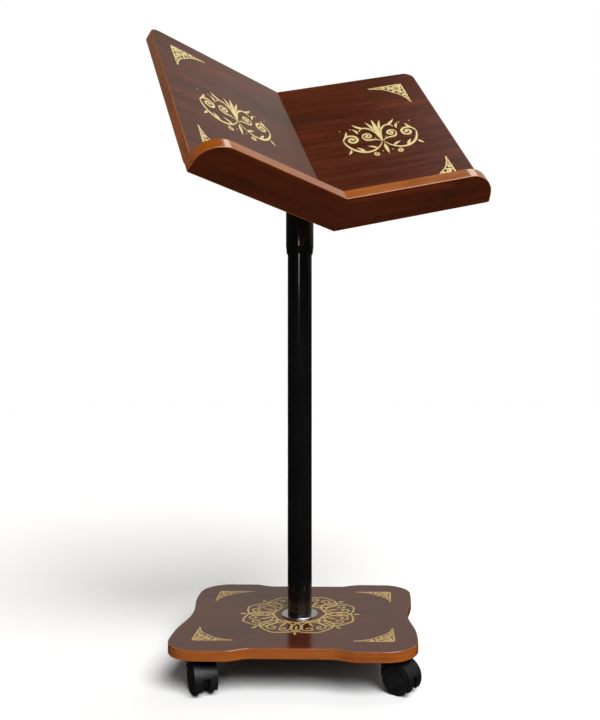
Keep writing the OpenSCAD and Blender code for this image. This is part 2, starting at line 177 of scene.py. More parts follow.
class StandPrints(bpy.types.PropertyGroup):
    """Sizes of the gold ornaments"""

    relief: length("Relief", "Height of the gold film above the board", 0.10)
    layer_step: length("Layer step", "Extra height of each stroke over the last", 0.004)
    corner_across: length("Corner width", "Its length across the board", 60)
    corner_back: length("Corner depth", "Its length fore and aft", 56)
    corner_hollow: share("Corner hollow", "Exponent that hollows a corner's long side", 0.61)
    wing_corner_reach: length("Wing corner reach", "Corner's distance from the spine", 210)
    wing_corner_rear: length("Rear corner", "Its distance from the lip", 295)
    wing_corner_front: length("Front corner", "Its distance from the lip", 30)
    base_corner_x: length("Base corner, sideways", "Corner's distance from the pole", 146)
    base_corner_y: length("Base corner, endways", "Corner's distance from the pole", 119.5)
    medallion_reach: length("Medallion reach", "Its centre's distance from the spine", 127)
    medallion_back: length("Medallion depth", "Its centre's distance from the lip", 162)
    medallion_width: length("Medallion width", "Its width", 126)
    medallion_height: length("Medallion height", "Its height", 92)
    medallion_stroke: length("Medallion stroke", "Its widest stroke", 4.2)
    rosette_outer: length("Rosette radius", "Its outer radius", 95.5)
    rosette_inner: length("Rosette inner radius", "Its inner radius", 39)
    rosette_stroke: length("Rosette stroke", "Its widest stroke", 3.3)
    rosette_lobes: IntProperty(
        name="Rosette lobes", description="Number of repeats round the pole", default=8,
        min=4, max=16,
    )
    gold: colour("Gold", "Colour of the gold film", (0.76, 0.63, 0.30))
    gold_worn: colour("Worn gold", "Colour of its thin patches", (0.58, 0.44, 0.18))
    base_gold: colour("Base gold", "Colour of the base's duller gold film", (0.64, 0.47, 0.20))
    base_gold_worn: colour("Base worn gold", "Colour of its thin patches", (0.46, 0.30, 0.115))


class StandMetal(bpy.types.PropertyGroup):
    """Finish of the metal and plastic pieces"""

    enamel: colour("Enamel", "Colour of the black enamel", (0.0036, 0.0036, 0.0042))
    chrome: colour("Chrome", "Colour of the ring at the pole's foot", (0.74, 0.75, 0.77))
    zinc: colour("Zinc", "Colour of the plated steel", (0.56, 0.57, 0.59))
    nylon: colour("Black nylon", "Colour of the casters' plastic", (0.0068, 0.0068, 0.0075))
    bush: colour("Natural nylon", "Colour of the socket's bushes", (0.72, 0.69, 0.58))
    beech: colour("Beech", "Colour of the dowels", (0.55, 0.37, 0.21))
    edge_round: length("Edge rounding", "Radius on metal edges", 0.4)
    hood_round: length("Hood rounding", "Radius on the casters' hoods", 0.6)
    turns: IntProperty(
        name="Steps round", description="Steps in one turn of a round piece", default=96,
        min=24, max=256,
    )


class StandStage(bpy.types.PropertyGroup):
    """Camera, lights and floor"""

    camera_side: length("Camera, sideways", "Camera's distance to the right of the pole", 107.8)
    camera_back: length("Camera distance", "Camera's distance in front of the pole", 1286.9, 5)
    camera_up: length("Camera height", "Camera's height above the base board", 417.2)
    camera_yaw: share("Yaw", "Camera's turn to the left, in degrees", 1.23, 90)
    lens: share("Lens", "Focal length in millimetres on a 36 mm sensor", 40.79, 200)
    shift_x: FloatProperty(name="Shift X", description="Sideways lens shift", default=-0.0701)
    shift_y: FloatProperty(name="Shift Y", description="Upward lens shift", default=-0.0140)
    key_power: share("Key strength", "Strength of the main soft light", 3.8, 100)
    key_spread: share("Key softness", "Angle that the main light fills, in degrees", 40, 90)
    strip_power: share("Strip power", "Power of the narrow light by the camera, in watts", 1.6, 1000)
    backdrop: share("Backdrop", "Brightness of the pale wall behind", 0.47, 10)
    softbox: share("Softbox", "Brightness of the softbox at the upper right", 2.2, 100)
    softbox_way: FloatVectorProperty(
        name="Softbox direction", description="Direction from the stand to the softbox",
        default=(0.36, 0.26, 0.90), subtype="DIRECTION",
    )
    backdrop_tint: colour("Backdrop tint", "Tint of the studio's walls", (1.0, 0.95, 0.86))
    ceiling: share("Ceiling", "Brightness of the ceiling's right side", 0.8, 10)
    surround: share("Surround", "Brightness of the rest of the studio", 0.022, 10)
    floor_colour: colour("Floor", "Colour of the floor", (0.95, 0.95, 0.95))
    floor_radius: length("Floor radius", "Radius of the round floor", 6000, 50)


PROPERTY_GROUPS = {
    "stand_boards": StandBoards,
    "stand_prints": StandPrints,
    "stand_metal": StandMetal,
    "stand_stage": StandStage,
}


# ---- material tools ----

OWN_PLACE = "own_place"
WHITE = (1, 1, 1)
# Numbers of a mix node's colour sockets
MIX_A, MIX_B, MIX_RESULT = 6, 7, 2


def rgba(value):
    return (*value, 1.0)


def dimmed(value, part):
    return tuple(part * c for c in value)


def principled(name, **sockets):
    """A new material and its shader, with the shader's own sockets set."""
    material = bpy.data.materials.new(name + "_finish")
    material.use_nodes = True
    shader = material.node_tree.nodes["Principled BSDF"]
    for socket, value in sockets.items():
        shader.inputs[socket.replace("_", " ")].default_value = value
    return material, shader


def add_node(owner, kind, sockets=None, **settings):
    """A node of a material or a world. Sockets go by name or number, to a value or an output."""
    node = owner.node_tree.nodes.new(kind)
    for key, value in settings.items():
        setattr(node, key, value)
    for socket, value in (sockets or {}).items():
        if isinstance(value, bpy.types.NodeSocket):
            owner.node_tree.links.new(value, node.inputs[socket])
        else:
            node.inputs[socket].default_value = value
    return node


def join(material, output, shader, socket):
    material.node_tree.links.new(output, shader.inputs[socket])


def own_place(material):
    """The piece's own coordinates in metres, which placed_mesh() stores in its mesh."""
    return add_node(material, "ShaderNodeAttribute", attribute_name=OWN_PLACE).outputs["Vector"]


def grain(material, waves, detail=3.0, roughness=0.5, distortion=0.0, shift=(0, 0, 0)):
    """Noise in the piece's own axes, with so many waves a metre along each axis."""
    placed = add_node(
        material, "ShaderNodeMapping",
        {"Vector": own_place(material), "Scale": waves, "Location": shift},
    )
    noise = add_node(
        material, "ShaderNodeTexNoise",
        {"Vector": placed.outputs["Vector"], "Scale": 1.0, "Detail": detail,
         "Roughness": roughness, "Distortion": distortion},
    )
    return noise.outputs["Fac"]


def ramp(material, factor, stops):
    """A colour ramp: stops are (place, colour)."""
    node = add_node(material, "ShaderNodeValToRGB", {"Fac": factor})
    elements = node.color_ramp.elements
    while len(elements) < len(stops):
        elements.new(0.5)
    for element, (place, value) in zip(elements, stops):
        element.position = place
        element.color = rgba(value)
    return node.outputs["Color"]


def spread(owner, value, low, high, to_low=0.0, to_high=1.0):
    """Maps a range of a value smoothly to another range."""
    node = add_node(
        owner, "ShaderNodeMapRange",
        {"Value": value, "From Min": low, "From Max": high, "To Min": to_low, "To Max": to_high},
        interpolation_type="SMOOTHSTEP",
    )
    return node.outputs["Result"]


def shaded(material, base, amount, pattern, *stops):
    """A colour multiplied, as strongly as amount says, by a ramp over a pattern."""
    node = add_node(
        material, "ShaderNodeMix",
        {"Factor": amount, MIX_A: base, MIX_B: ramp(material, pattern, stops)},
        data_type="RGBA", blend_type="MULTIPLY",
    )
    return node.outputs[MIX_RESULT]


def bumped(material, shader, height, strength, distance, under=None):
    """Bump from a pattern, over an earlier bump if one is given."""
    sockets = {"Height": height, "Strength": strength, "Distance": distance}
    if under is not None:
        sockets["Normal"] = under
    bump = add_node(material, "ShaderNodeBump", sockets).outputs["Normal"]
    join(material, bump, shader, "Normal")
    return bump


def roughened(material, shader, pattern, low, high):
    """Roughness that a pattern spreads between two values."""
    join(material, spread(material, pattern, 0.3, 0.7, low, high), shader, "Roughness")


def toned(name, value, pattern, tones, roughness, sockets):
    """A new material whose colour and roughness follow one pattern.

    The pattern is what grain() takes, and tones are (place on it, part of the colour).
    """
    material, shader = principled(name, **sockets)
    clouds = grain(material, *pattern)
    stops = [(place, dimmed(value, part)) for place, part in tones]
    join(material, ramp(material, clouds, stops), shader, "Base Color")
    roughened(material, shader, clouds, *roughness)
    return material, shader


# ---- materials ----


def mahogany_foil(name, specular, coat, painted_shade_part=1.0):
    """Printed mahogany foil under lacquer: soft streaks, fine grain, short dark pores along X.

    The coat is a part of the boards' gloss, and the last argument a part of their colours: below 1 it makes a
    darker copy of the foil, which is painted shade.
    """
    boards = bpy.context.scene.stand_boards
    dark, middle, red = (
        dimmed(value, painted_shade_part) for value in (boards.wood_dark, boards.wood_middle, boards.wood_red)
    )
    material, shader = principled(
        name, Specular_IOR_Level=specular, Coat_Weight=coat * boards.wood_gloss,
        Coat_Roughness=0.16, Coat_IOR=1.4,
    )
    clouds = grain(material, (4, 24, 24), 5, 0.6, 0.5)
    streaks = grain(material, (7, 120, 120), 4, 0.55, 0.3, (3, 1, 2))
    fine = grain(material, (40, 1500, 1500), 3, 0.6)
    pores = grain(material, (85, 2300, 2300), 2, 0.5, 0.0, (7, 5, 3))
    foil = ramp(material, clouds, [(0.32, dark), (0.46, middle), (0.56, middle), (0.68, red)])
    foil = shaded(material, foil, 1.0, streaks,
                  (0.30, (0.78, 0.77, 0.78)), (0.52, WHITE), (0.72, (1.14, 1.12, 1.1)))
    foil = shaded(material, foil, 0.7, fine, (0.30, (0.80, 0.78, 0.78)), (0.62, (1.06, 1.06, 1.06)))
    foil = shaded(material, foil, 0.7, pores, (0.27, (0.45, 0.43, 0.43)), (0.36, WHITE))
    join(material, foil, shader, "Base Color")
    roughened(material, shader, streaks, 0.17, 0.24)
    waves = bumped(material, shader, grain(material, (14, 22, 22), 2, 0.4), 0.12, 0.0006)
    bumped(material, shader, pores, 0.10, 0.00006, waves)
    return material


def edge_band():
    """Lacquered orange-brown edge band: the fine lines along it lie square to its own Z."""
    boards = bpy.context.scene.stand_boards
    material, shader = principled(
        "edge_band", Specular_IOR_Level=1.0, Coat_Weight=0.9, Coat_Roughness=0.06,
    )
    lines = grain(material, (7, 7, 700), 4, 0.6, 0.4)
    clouds = grain(material, (16, 16, 60), 3, 0.5, 0.2, (1, 2, 3))
    band = ramp(material, lines, [(0.28, boards.band_dark), (0.70, boards.band_light)])
    band = shaded(material, band, 0.7, clouds,
                  (0.30, (0.72, 0.66, 0.6)), (0.65, (1.08, 1.08, 1.05)))
    join(material, band, shader, "Base Color")
    roughened(material, shader, clouds, 0.18, 0.26)
    bumped(material, shader, lines, 0.10, 0.00008)
    return material


def gold_film(name, key):
    """Hot-stamped gold film: thin speckled patches and a faint crinkle. The key names its colour."""
    prints = bpy.context.scene.stand_prints
    bright, worn = getattr(prints, key), getattr(prints, key + "_worn")
    material, shader = principled(name, Metallic=0.35, Specular_IOR_Level=0.5)
    patches = grain(material, (260, 260, 260), 4, 0.65)
    specks = grain(material, (1900, 1900, 1900), 2, 0.6, 0.0, (4, 4, 4))
    film = ramp(material, patches, [(0.32, worn), (0.55, bright)])
    film = shaded(material, film, 0.6, specks, (0.30, (0.62, 0.58, 0.5)), (0.45, WHITE))
    join(material, film, shader, "Base Color")
    roughened(material, shader, patches, 0.50, 0.34)
    bumped(material, shader, specks, 0.15, 0.00004)
    return material


def chrome_ring():
    """Bright plated steel with fine turning marks round its axis."""
    material, shader = toned(
        "chrome_ring", bpy.context.scene.stand_metal.chrome, ((90, 90, 90), 4, 0.6),
        ((0.3, 0.78), (0.6, 1.0)), (0.16, 0.30), {"Metallic": 1.0},
    )
    rings = add_node(
        material, "ShaderNodeTexWave",
        {"Vector": own_place(material), "Scale": 700.0, "Distortion": 1.2, "Detail": 2.0},
        wave_type="RINGS", rings_direction="Z",
    )
    bumped(material, shader, rings.outputs["Fac"], 0.03, 0.00003)
    return material


def beech_dowel():
    """Pale beech: fine grain with short darker flecks."""
    beech = bpy.context.scene.stand_metal.beech
    material, shader = principled("beech_dowel", Specular_IOR_Level=0.35)
    lines = grain(material, (60, 900, 900), 4, 0.6, 0.3)
    flecks = grain(material, (260, 1900, 1900), 2, 0.5, 0.0, (5, 2, 1))
    wood = ramp(material, lines, [(0.3, dimmed(beech, 0.7)), (0.65, beech)])
    wood = shaded(material, wood, 0.6, flecks, (0.28, (0.55, 0.45, 0.4)), (0.40, WHITE))
    join(material, wood, shader, "Base Color")
    roughened(material, shader, lines, 0.55, 0.70)
    bumped(material, shader, lines, 0.2, 0.0001)
    return material


# Plain finishes: their colour's group and name, then what toned() takes, then the pattern,
# strength and depth of their bump
PLAIN = {
    # gloss enamel with a faint orange-peel surface
    "black_enamel": (
        "stand_metal", "enamel", ((30, 30, 12), 3, 0.5), ((0.3, 0.6), (0.7, 1.0)), (0.12, 0.20),
        {"Specular_IOR_Level": 0.4, "Coat_Weight": 0.5, "Coat_Roughness": 0.05},
        ((420, 420, 260), 2, 0.4), 0.06, 0.0001,
    ),
    # cloudy grey plating with a fine brushed surface
    "zinc_steel": (
        "stand_metal", "zinc", ((120, 120, 120), 5, 0.65), ((0.32, 0.66), (0.62, 1.0)),
        (0.44, 0.30), {"Metallic": 1.0}, ((900, 900, 2200), 2, 0.5), 0.08, 0.00004,
    ),
    # moulded, with a fine spark-eroded texture and greyer scuffed patches
    "black_nylon": (
        "stand_metal", "nylon", ((70, 70, 70), 4, 0.6), ((0.45, 1.0), (0.75, 1.9)), (0.34, 0.50),
        {"Specular_IOR_Level": 0.3}, ((1500, 1500, 1500), 2, 0.5), 0.10, 0.00008,
    ),
    # milky, slightly soft inside, with fine machining lines
    "natural_nylon": (
        "stand_metal", "bush", ((80, 80, 80), 3, 0.5), ((0.3, 0.85), (0.7, 1.0)), (0.38, 0.50),
        {"Subsurface_Weight": 0.15, "Subsurface_Scale": 0.004},
        ((60, 60, 2500), 2, 0.5), 0.10, 0.00006,
    ),
    # plastic of the screw caps, as dull as the lip's front
    "brown_cap": (
        "stand_boards", "cap_colour", ((200, 200, 200), 3, 0.5), ((0.3, 0.7), (0.7, 1.0)),
        (0.16, 0.28), {"Specular_IOR_Level": 0.15}, ((900, 900, 900), 2, 0.5), 0.05, 0.00005,
    ),
}
MAKERS = {
    "mahogany_board": lambda: mahogany_foil("mahogany_board", 0.5, 1.0),
    # the lip's foil is the boards' foil at 0.85 of its colours: painted shade for the lip's front, which faces
    # down, away from the key light
    "mahogany_lip": lambda: mahogany_foil("mahogany_lip", 0.12, 0.0, 0.85),
    "edge_band": edge_band,
    "gold_print": lambda: gold_film("gold_print", "gold"),
    "base_gold_print": lambda: gold_film("base_gold_print", "base_gold"),
    "chrome_ring": chrome_ring,
    "beech_dowel": beech_dowel,
}
# Finishes made so far, by name
finishes = {}


def plain_finish(name):
    group, key, *toning, pattern, strength, depth = PLAIN[name]
    value = getattr(getattr(bpy.context.scene, group), key)
    material, shader = toned(name, value, *toning)
    bumped(material, shader, grain(material, *pattern), strength, depth)
    return material


def finish(name):
    """The named material, made the first time it is asked for."""
    if name not in finishes:
        finishes[name] = plain_finish(name) if name in PLAIN else MAKERS[name]()
    return finishes[name]


# ---- mesh tools ----

SMOOTH_BELOW = math.radians(35)
SHARP_ABOVE = math.radians(30)
# Faces that meet at less than this are one flat face, and points closer than WELD are one
FLAT_BELOW = math.radians(0.3)
WELD = 0.002 * MM
# Size along Z of the normal of a face that lies square to Z
SQUARE_TO_Z = 0.99


def placed_mesh(name, mesh, place):
    """A bmesh put in the frame, which keeps its own coordinates for its material."""
    data = bpy.data.meshes.new(name)
    mesh.normal_update()
    mesh.to_mesh(data)
    mesh.free()
    own = data.attributes.new(OWN_PLACE, "FLOAT_VECTOR", "POINT")
    own.data.foreach_set("vector", [c for v in data.vertices for c in v.co])
    data.transform(place or Matrix())
    return data


def put(name, mesh, body, look, stands_for=(), place=None):
    """Makes a piece from a bmesh in its own axes. It replaces the CAD nodes it stands for."""
    data = placed_mesh(name, mesh, place)
    data.materials.append(finish(look))
    data.shade_smooth()
    data.set_sharp_from_angle(angle=SMOOTH_BELOW)
    piece = bpy.data.objects.new(name, data)
    bpy.context.scene.collection.objects.link(piece)
    piece.modifiers.new("Even normals", "WEIGHTED_NORMAL").keep_sharp = True
    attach(piece, body)
    if stands_for:
        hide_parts(*stands_for)


def cad_mesh(node, place=None):
    """A CAD node's shape in a place's own axes, with its flat faces whole again."""
    mesh = bmesh.new()
    mesh.from_mesh(frame["nodes"][node].data)
    mesh.transform((place or Matrix()).inverted())
    bmesh.ops.remove_doubles(mesh, verts=mesh.verts, dist=WELD)
    bmesh.ops.dissolve_limit(
        mesh, angle_limit=FLAT_BELOW, verts=mesh.verts, edges=mesh.edges
    )
    return mesh


def round_edges(mesh, radius, chosen=None, steps=3):
    """Rounds the sharp edges, or those of them that chosen() picks."""
    mesh.normal_update()
    edges = [
        e for e in mesh.edges
        if len(e.link_faces) == 2
        and e.calc_face_angle(0) > SHARP_ABOVE
        and (chosen is None or chosen(e))
    ]
    bmesh.ops.bevel(
        mesh, geom=edges, offset=radius, offset_type="OFFSET", segments=steps, profile=0.5,
        affect="EDGES", clamp_overlap=True,
    )


def is_flat(face):
    return abs(face.normal.z) > SQUARE_TO_Z


def rim_edge(edge):
    """Whether an edge is on the rim of a board's flat face, and not round a small hole."""
    shortest = 1.2 * MM
    flat = [is_flat(f) for f in edge.link_faces]
    return any(flat) and not all(flat) and edge.calc_length() > shortest


def outer_edges(board):
    """Picks a band's long outer edges: those that don't lie against its board."""
    tree = KDTree(len(board.verts))
    for i, v in enumerate(board.verts):
        tree.insert(v.co, i)
    tree.balance()
    near = 0.05 * MM

    def chosen(edge):
        flat = any(is_flat(f) for f in edge.link_faces)
        return flat and all(tree.find(v.co)[2] > near for v in edge.verts)

    return chosen


def turned(profile, steps):
    """A closed outline of (radius, height) turned round Z, none of it on the axis."""
    mesh = bmesh.new()
    ways = [(math.cos(TAU * i / steps), math.sin(TAU * i / steps)) for i in range(steps)]
    rings = [
        [mesh.verts.new((radius * x, radius * y, height)) for x, y in ways]
        for radius, height in profile
    ]
    for low, high in zip(rings, rings[1:] + rings[:1]):
        for i in range(steps):
            j = (i + 1) % steps
            mesh.faces.new((low[i], low[j], high[j], high[i]))
    bmesh.ops.recalc_face_normals(mesh, faces=mesh.faces)
    return mesh


def rounded(outline, radii, steps=4):
    """An outline of (radius, height) with the corners rounded whose index is in radii."""
    points = []
    for i, corner in enumerate(map(Vector, outline)):
        if i not in radii:
            points.append(corner)
            continue
        before, after = Vector(outline[i - 1]), Vector(outline[(i + 1) % len(outline)])
        start = corner + (before - corner).normalized() * radii[i]
        end = corner + (after - corner).normalized() * radii[i]
        for k in range(steps + 1):
            t = k / steps
            points.append((1 - t) ** 2 * start + 2 * t * (1 - t) * corner + t * t * end)
    return points


# ---- strokes of the prints ----


# How far a print's film goes into the board
PRINT_SINK = 0.05 * MM


def ray(radius, angle):
    return Vector((radius * math.cos(angle), radius * math.sin(angle)))


class Print:
    """A gold print in its own plane: each stroke is a thin closed film, each a little higher."""

    def __init__(self, relief, layer_step):
        self.mesh = bmesh.new()
        self.height = relief
        self.layer_step = layer_step

    def film(self, left, right, closed=False):
        """A film between two rows of points."""
        low, high = -PRINT_SINK, self.height
        rows = [
            [self.mesh.verts.new((p.x, p.y, z)) for p in side]
            for side, z in ((left, high), (right, high), (left, low), (right, low))
        ]
        count = len(left)
        for i in range(count if closed else count - 1):
            j = (i + 1) % count
            for a, b in ((0, 1), (1, 3), (3, 2), (2, 0)):
                self.mesh.faces.new((rows[a][i], rows[b][i], rows[b][j], rows[a][j]))
        if not closed:
            for i in (0, -1):
                self.mesh.faces.new([rows[k][i] for k in (0, 1, 3, 2)])
        self.height += self.layer_step

    def stroke(self, points, width, start=0.12, end=0.12, belly=0.5, closed=False):
        """A pen stroke along points, widest at belly, with start and end as parts of its width."""
        left, right = [], []
        count = len(points)
        for i, point in enumerate(points):
            if closed:
                ahead, behind = points[(i + 1) % count], points[i - 1]
            else:
                ahead, behind = points[min(i + 1, count - 1)], points[max(i - 1, 0)]
            run = (ahead - behind).normalized()
            side = Vector((-run.y, run.x))
            t = i / (count - 1)
            if closed:
                part = 1.0
            elif t < belly:
                part = start + (1 - start) * math.sin(0.5 * math.pi * t / belly)
            else:
                part = end + (1 - end) * math.cos(0.5 * math.pi * (t - belly) / (1 - belly))
            left.append(point + side * width * part / 2)
            right.append(point - side * width * part / 2)
        self.film(left, right, closed)

    def leaf(self, foot, tip, width, lean=0.0, steps=10):
        """A pointed leaf from foot to tip, bent sideways by lean."""
        along = tip - foot
        side = Vector((-along.y, along.x)).normalized()
        points = [
            foot + along * (i / steps) + side * lean * math.sin(math.pi * i / steps)
            for i in range(steps + 1)
        ]
        self.stroke(points, width, 0.06, 0.04, 0.42)

    def dot(self, centre, radius, steps=10):
        """A round dot, split down its middle into the film's two rows, whose ends don't meet."""
        inner, gap = 0.985, 0.02 * radius
        rows = []
        for sign in (1, -1):
            row = []
            for i in range(steps + 1):
                point = ray(radius, math.pi * i / steps)
                row.append(centre + Vector((point.x * inner, sign * point.y)))
            row[0] = centre + Vector((radius, sign * gap))
            row[-1] = centre + Vector((-radius, sign * gap))
            rows.append(row)
        self.film(*rows)


def scroll(centre, outer, inner, start, turn, steps):
    """A spiral from the outer to the inner radius, start and turn in degrees."""
    points = []
    for i in range(steps + 1):
        t = i / steps
        radius = outer * (inner / outer) ** t
        points.append(centre + ray(radius, math.radians(start + turn * t)))
    return points


def bow(a, b, c, d, steps):
    """A cubic curve from a to d that leaves towards b and arrives from c."""
    points = []
    for i in range(steps + 1):
        t = i / steps
        u = 1 - t
        points.append(u ** 3 * a + 3 * u * u * t * b + 3 * u * t * t * c + t ** 3 * d)
    return points


def corner_print(art, prints):
    """A dense filigree triangle: its corner at the origin, its legs along +X and +Y.

    Places are parts of the legs' lengths.
    """
    across, back, hollow = prints.corner_across, prints.corner_back, prints.corner_hollow

    def at(x, y, swap=False):
        return Vector((y * across, x * back)) if swap else Vector((x * across, y * back))

    def rim(x):
        return max(0.0, 1 - x ** hollow) ** (1 / hollow)

    crest = 0.5 ** (1 / hollow)
    scallops = 6
    marks = [crest + (0.97 - crest) * (k / scallops) ** 0.9 for k in range(scallops + 1)]
    for swap in (False, True):
        # the scalloped long side, then the leg
        for near, far in zip(marks, marks[1:]):
            p, q = at(near, rim(near), swap), at(far, rim(far), swap)
            side = Vector((p.y - q.y, q.x - p.x)).normalized()
            side *= math.copysign(0.42 * (q - p).length, side.dot(p + q))
            art.stroke(bow(p, p + side, q + side, q, 10), 2.0 * MM, 0.8, 0.8)
        leg = [at(t / 12, 0.015 + 0.012 * math.sin(2.5 * t), swap) for t in range(13)]
        art.stroke(leg, 3.0 * MM, 0.75, 0.15, 0.12)
        # scrolls with a dot in each, which shrink to plain dots
        start, turn = (180, -470) if swap else (-90, 470)
        for x, part in ((0.37, 0.34), (0.53, 0.38), (0.66, 0.42)):
            radius = part * rim(x) * back
            centre = at(x, 0.52 * rim(x), swap)
            art.stroke(scroll(centre, radius, 0.30 * radius, start, turn, 24),
                       min(2.3 * MM, 0.5 * radius), 0.7, 0.9, 0.4)
            art.dot(centre, 0.26 * radius)
        for x in (0.76, 0.84, 0.91):
            art.dot(at(x, 0.5 * rim(x), swap), 0.5 * rim(x) * back)
        for foot, tip, lean in (
            ((0.08, 0.04), (0.27, 0.11), 1.2), ((0.27, 0.10), (0.31, 0.30), -1.5),
            ((0.43, 0.03), (0.47, 0.22), 1.0), ((0.58, 0.02), (0.61, 0.14), 0.6),
        ):
            art.leaf(at(*foot, swap), at(*tip, swap), 2.8 * MM, (-lean if swap else lean) * MM)
    # a round eye of leaves near the corner, and a leaf on each side of it
    middle = at(0.20, 0.20)
    art.stroke(scroll(middle, 0.115 * across, 0.115 * across, 0, 351, 28), 2.6 * MM, 0.9, 0.9)
    for turn in range(45, 405, 60):
        angle = math.radians(turn)
        art.leaf(middle + ray(0.02 * across, angle), middle + ray(0.10 * across, angle), 2.2 * MM)
    art.leaf(at(0.0, 0.0), at(0.13, 0.13), 5.0 * MM)
    art.leaf(at(0.26, 0.26), at(crest + 0.07, crest + 0.07), 4.4 * MM)


# The medallion's right half. Places are parts of its half width and half height, radii and
# leans of its half width, and widths of its stroke. A row for a curve ends in the start, end
# and belly that Print.stroke() takes.
# four points, steps, width
STEMS = (
    (((0.02, -0.30), (0.30, -1.05), (0.88, -0.80), (0.97, -0.02)), 30, 1.0, 0.25, 0.5, 0.6),
    (((0.03, -0.26), (0.18, 0.02), (0.42, -0.30), (0.45, 0.10)), 22, 0.85, 0.25, 0.5, 0.6),
    (((0.05, 0.02), (0.10, 0.62), (0.40, 0.72), (0.46, 0.42)), 20, 0.8, 0.2, 0.25, 0.5),
)
# centre, outer and inner radius, start and turn in degrees, steps, width
CURLS = (
    ((0.74, 0.02), 0.225, 0.05, 0, 560, 40, 0.95, 0.55, 0.7, 0.2),
    ((0.31, 0.10), 0.14, 0.035, 0, 500, 30, 0.75, 0.6, 0.7, 0.2),
    ((0.30, -0.93), 0.085, 0.025, 90, -470, 26, 0.6, 0.4, 0.7, 0.3),
)
# foot, tip, width, lean
LEAVES = (
    ((0.56, -0.76), (0.72, -0.42), 1.15, 0.02), ((0.88, -0.50), (1.0, -0.74), 0.9, -0.02),
    ((0.30, 0.56), (0.56, 0.86), 1.1, -0.03), ((0.52, 0.30), (0.62, 0.62), 0.95, 0.03),
    ((0.20, -0.66), (0.44, -0.44), 0.95, 0.03), ((0.09, 0.34), (0.20, 0.90), 1.0, 0.03),
    ((0.90, 0.24), (0.80, 0.52), 0.9, 0.03),
)
# centre, radius as a part of the stroke
DOTS = (
    ((0.31, 0.10), 0.32), ((0.74, 0.02), 0.42), ((0.66, 0.62), 0.28), ((0.14, -0.06), 0.22),
    ((0.13, -0.82), 0.24), ((0.94, 0.62), 0.22),
)


def medallion_print(art, prints):
    """A mirrored scroll ornament round an upright palmette, with its centre at the origin."""
    a, b = prints.medallion_width / 2, prints.medallion_height / 2
    stroke = prints.medallion_stroke

    def at(place, flip=1):
        return Vector((place[0] * a * flip, place[1] * b))

    art.leaf(at((0, -0.30)), at((0, 1.0)), 2.0 * stroke)
    art.leaf(at((0, -0.42)), at((0, -1.0)), 1.3 * stroke)
    for flip in (-1, 1):
        for stem, curl in zip(STEMS, CURLS):
            points, steps, size, *taper = stem
            art.stroke(bow(*[at(p, flip) for p in points], steps), size * stroke, *taper)
            centre, outer, inner, start, turn, steps, size, *taper = curl
            points = scroll(at(centre), outer * a, inner * a, start, turn, steps)
            art.stroke([Vector((p.x * flip, p.y)) for p in points], size * stroke, *taper)
        for foot, tip, size, lean in LEAVES:
            art.leaf(at(foot, flip), at(tip, flip), size * stroke, lean * a * flip)
        for centre, size in DOTS:
            art.dot(at(centre, flip), size * stroke)


RING_STEPS = 192


def rosette_print(art, prints):
    """A ring of round loops laced through their neighbours, with a pair of curls in each.

    Two loops cross at each multiple of the step, with a leaf there that points outward.
    """
    inner, outer = prints.rosette_inner, prints.rosette_outer
    stroke, lobes = prints.rosette_stroke, prints.rosette_lobes
    step = TAU / lobes

    def polar(part, angle):
        return ray(inner + part * (outer - inner), angle)

    for k in range(lobes):
        middle = (k + 0.5) * step
        for flip in (-1, 1):
            # the loop's side from its foot to its top, then a curl with a hook under the top
            for points, steps, size, start, end in (
                (((0.04, 0.0), (0.02, 0.80), (0.98, 0.92), (0.93, 0.0)), 34, 1.0, 0.8, 0.8),
                (((0.08, 0.0), (0.16, 0.36), (0.62, 0.50), (0.72, 0.20)), 26, 0.9, 0.7, 0.8),
                (((0.72, 0.20), (0.74, 0.02), (0.50, 0.02), (0.52, 0.20)), 16, 0.9, 0.8, 0.6),
            ):
                curve = bow(*[polar(r, middle + flip * t * step) for r, t in points], steps)
                art.stroke(curve, size * stroke, start, end)
            art.dot(polar(0.55, middle + flip * 0.19 * step), 0.62 * stroke)
        crossing = k * step
        for angle, foot, tip, size in (
            (middle, 0.10, 0.50, 1.3), (crossing, 0.30, 0.66, 1.3), (crossing, 0.80, 1.0, 1.5),
        ):
            art.leaf(polar(foot, angle), polar(tip, angle), size * stroke)
    # a waved ring round the foot
    turns = [TAU * i / RING_STEPS for i in range(RING_STEPS)]
    ring = [polar(0.02 + 0.02 * math.cos(lobes * angle), angle) for angle in turns]
    art.stroke(ring, 0.7 * stroke, closed=True)


# ---- boards ----


def banded_board(board, band, body, place, look):
    """A board and its edge band, each from its CAD node, with the band's outer edges rounded."""
    boards = bpy.context.scene.stand_boards
    core = cad_mesh(board, place)
    strip = cad_mesh(band, place)
    round_edges(strip, boards.band_round, outer_edges(core))
    round_edges(core, boards.joint_line, rim_edge, 1)
    put(board + "_finished", core, body, look, (board,), place)
    put(band + "_finished", strip, body, "edge_band", (band,), place)


class StandBaseBoard(bpy.types.Operator):
    """Makes the lobed base board and its edge band"""

    bl_idname = "stand.base_board"
    bl_label = "Base board"

    def execute(self, context):
        banded_board("base_board", "base_edge_band", "base", BASE, "mahogany_board")
        return {"FINISHED"}


class StandWings(bpy.types.Operator):
    """Makes the two wings of the reading board and their edge bands"""

    bl_idname = "stand.wings"
    bl_label = "Wings"

    def execute(self, context):
        for side in SIDES:
            banded_board("wing_" + side, "wing_band_" + side, "head", WING[side], "mahogany_board")
        return {"FINISHED"}


class StandLips(bpy.types.Operator):
    """Makes the lips along the wings' front edges, their edge bands and the screw caps"""

    bl_idname = "stand.lips"
    bl_label = "Lips"

    def execute(self, context):
        for side in SIDES:
            banded_board("lip_" + side, "lip_band_" + side, "head", LIP[side], "mahogany_lip")
        fitting("lip_screw_caps", "brown_cap")
        return {"FINISHED"}


# ---- prints ----


